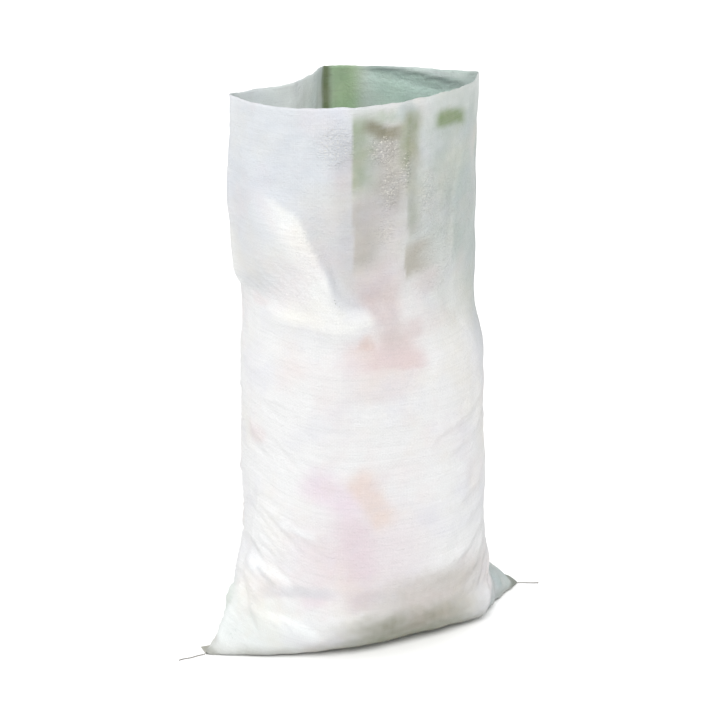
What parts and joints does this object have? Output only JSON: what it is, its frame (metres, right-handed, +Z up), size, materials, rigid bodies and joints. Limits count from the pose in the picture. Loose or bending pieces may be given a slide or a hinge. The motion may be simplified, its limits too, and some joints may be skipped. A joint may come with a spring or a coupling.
{
  "type": "rubble sack",
  "caption": "Open woven plastic sack standing on its stitched bottom seam, half filled with broken brick, concrete and plaster rubble.",
  "frame": {"origin": "middle of the bottom seam, on the ground", "axes": "+Z up, X along the bottom seam, the front panel faces -Y"},
  "size_m": [0.6385, 0.2775, 0.888],
  "materials": {
    "woven_plastic": "white woven plastic tape cloth, slightly glossy and let-through",
    "thread": "white twisted sewing thread in chain stitch",
    "rubble": "dusty mixed rubble and grit",
    "brick": "broken fired red brick, dusty",
    "concrete": "broken grey concrete with aggregate",
    "plaster": "broken pale plaster, chalky"
  },
  "bodies": {
    "root": {"woven_sack": "woven_plastic", "seam_thread": "thread", "thread_tail_left": "thread", "thread_tail_right": "thread", "rubble_core": "rubble", "brick_piece_1": "brick", "brick_piece_2": "brick", "brick_piece_3": "brick", "brick_piece_4": "brick", "concrete_piece_1": "concrete", "concrete_piece_2": "concrete", "concrete_piece_3": "concrete", "concrete_piece_4": "concrete", "plaster_piece_1": "plaster", "plaster_piece_2": "plaster"}
  },
  "joints": []
}
